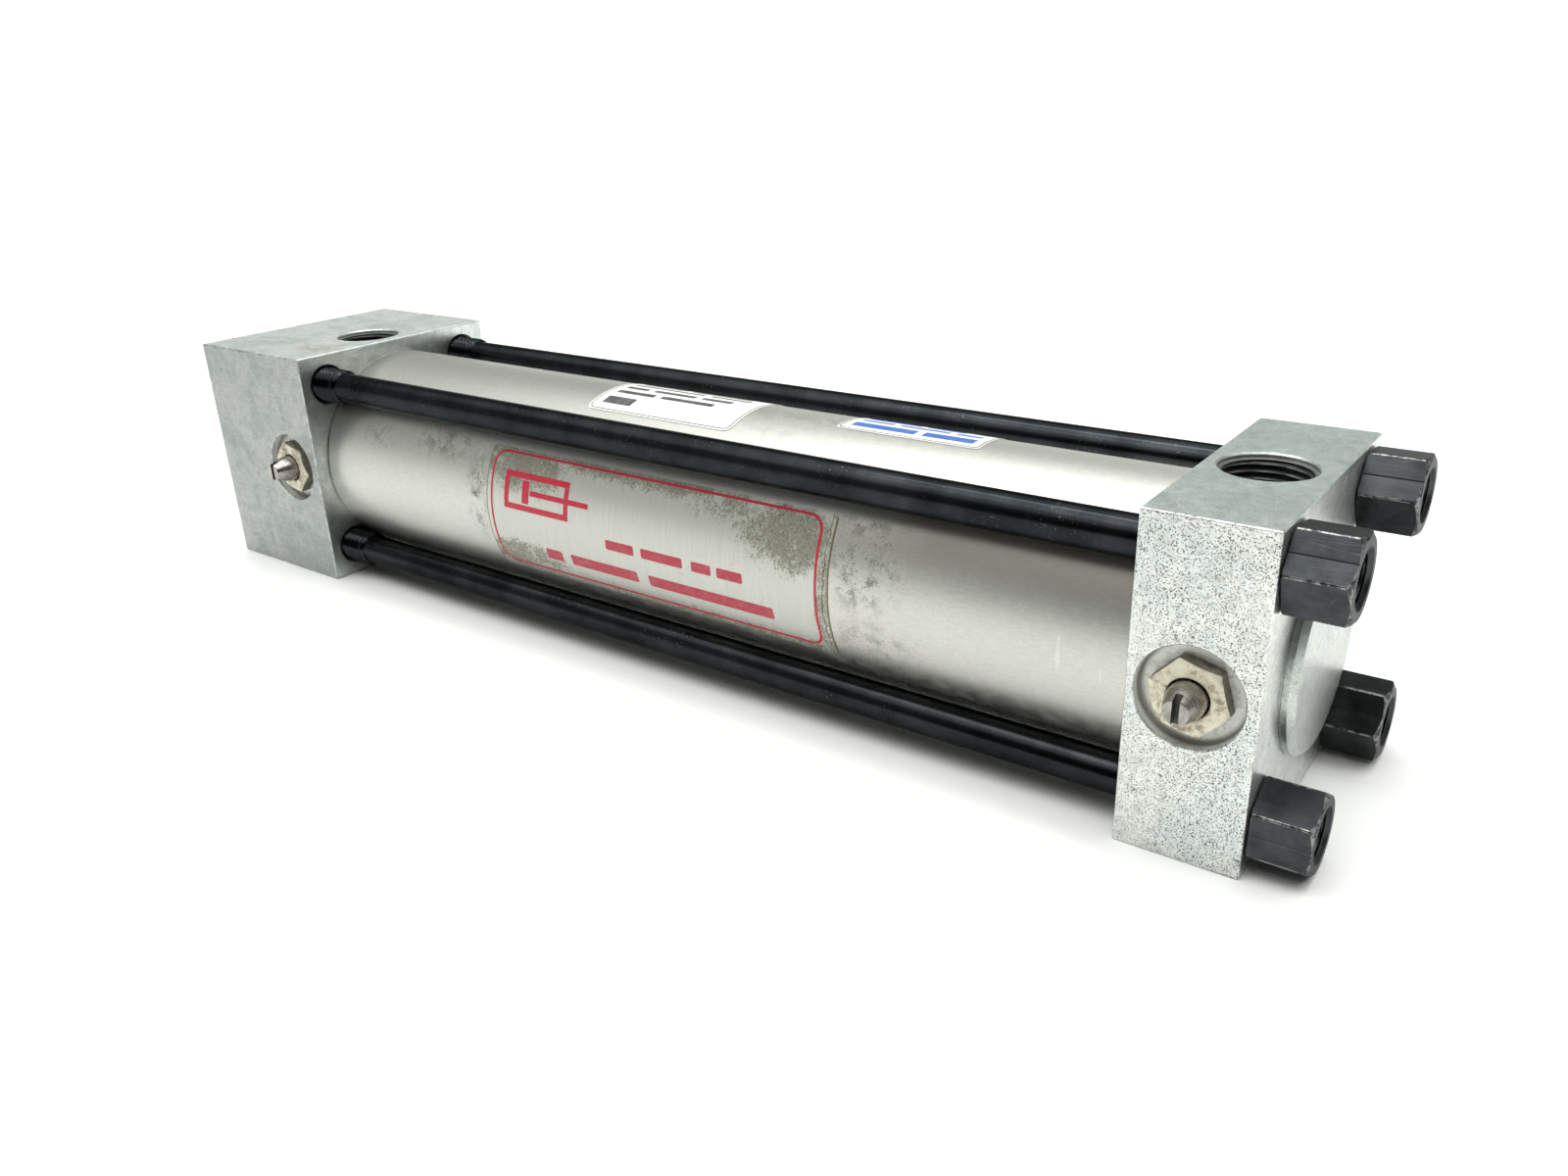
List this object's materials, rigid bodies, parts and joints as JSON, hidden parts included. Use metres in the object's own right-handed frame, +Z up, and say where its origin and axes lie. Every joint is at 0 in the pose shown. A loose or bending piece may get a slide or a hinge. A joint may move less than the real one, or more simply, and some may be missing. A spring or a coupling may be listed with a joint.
{
  "type": "tie-rod pneumatic cylinder",
  "caption": "Double-acting pneumatic cylinder with square heads, tie rods, top air ports, adjustable cushion needles and a threaded piston rod that slides out of the rod head.",
  "frame": {"origin": "middle of the cap head's bottom face, in the plane that both heads rest on", "axes": "+X along the cylinder's axis towards the cap head and its tie nuts, +Z up, where both air ports open; the cushion needles are on the -Y side and the piston rod leaves along -X"},
  "size_m": [0.3457, 0.0695, 0.0635],
  "materials": {
    "zinc_heads": "dull zinc plate, finely pitted and scratched, bright on worn edges",
    "tube": "satin, brushed round the tube, with dark smudges",
    "black_oxide": "glossy black oxide, oiled",
    "nut_oxide": "black oxide, semi-matte, rubbed light on the edges",
    "stainless": "bright turned stainless",
    "yellow_plate": "dirty yellow-cream plating",
    "seal_rubber": "matte black nitrile",
    "bronze": "turned bearing bronze",
    "spring_steel": "phosphated spring steel",
    "hard_chrome": "polished hard chrome",
    "piston_alloy": "turned",
    "wear_plastic": "filled acetal, matte",
    "magnet": "plastic-bonded ferrite",
    "label_film": "clear grimy film with a dark red border",
    "label_white": "white film, printed bars"
  },
  "bodies": {
    "barrel": {"rod_head": "zinc_heads", "cap_head": "zinc_heads", "cylinder_tube": "tube", "tube_seal_rod_end": "seal_rubber", "tube_seal_cap_end": "seal_rubber", "tie_rod_far_upper": "black_oxide", "tie_rod_near_upper": "black_oxide", "tie_rod_far_lower": "black_oxide", "tie_rod_near_lower": "black_oxide", "tie_nut_far_upper": "nut_oxide", "tie_nut_near_upper": "nut_oxide", "tie_nut_far_lower": "nut_oxide", "tie_nut_near_lower": "nut_oxide", "needle_bushing_rod_end": "yellow_plate", "needle_bushing_cap_end": "yellow_plate", "rod_bushing": "bronze", "rod_seal": "seal_rubber", "rod_wiper": "seal_rubber", "bushing_seal": "seal_rubber", "gland_retaining_ring": "spring_steel", "cushion_seal_rod_end": "seal_rubber", "cushion_seal_cap_end": "seal_rubber", "label_side": "label_film", "label_top_wide": "label_white", "label_top_narrow": "label_white"},
    "piston_seals": {"piston_seal_rod_side": "seal_rubber", "piston_seal_cap_side": "seal_rubber", "piston_wear_ring": "wear_plastic"},
    "rod_and_piston": {"piston_rod": "hard_chrome", "piston": "piston_alloy", "position_magnet_ring": "magnet", "cushion_sleeve": "stainless", "cushion_spud_nut": "stainless"},
    "rod_needle_seal": {"needle_seal_rod_end": "seal_rubber"},
    "rod_needle": {"cushion_needle_rod_end": "stainless"},
    "cap_needle_seal": {"needle_seal_cap_end": "seal_rubber"},
    "cap_needle": {"cushion_needle_cap_end": "stainless"}
  },
  "joints": [
    {"name": "rod_stroke", "type": "slide", "parent": "barrel", "child": "piston_seals", "axis": [-1, 0, 0], "range_m": [0, 0.2032]},
    {"name": "rod_spin", "type": "hinge", "parent": "piston_seals", "child": "rod_and_piston", "pos_m": [-0.1, 0, 0.03175], "axis": [-1, 0, 0], "continuous": true},
    {"name": "rod_needle_travel", "type": "slide", "parent": "barrel", "child": "rod_needle_seal", "axis": [0, -1, 0], "range_m": [-0.00119, 0.00119]},
    {"name": "rod_needle_turn", "type": "hinge", "parent": "rod_needle_seal", "child": "rod_needle", "pos_m": [-0.25705, -0.03175, 0.03175], "axis": [0, -1, 0], "range_deg": [-540, 540]},
    {"name": "cap_needle_travel", "type": "slide", "parent": "barrel", "child": "cap_needle_seal", "axis": [0, -1, 0], "range_m": [-0.00119, 0.00119]},
    {"name": "cap_needle_turn", "type": "hinge", "parent": "cap_needle_seal", "child": "cap_needle", "pos_m": [-0.00035, -0.03175, 0.03175], "axis": [0, -1, 0], "range_deg": [-540, 540]}
  ],
  "couplings": [
    {"joint": "rod_needle_turn", "follows": "rod_needle_travel", "rad_per_m": 7915.8},
    {"joint": "cap_needle_turn", "follows": "cap_needle_travel", "rad_per_m": 7915.8}
  ]
}
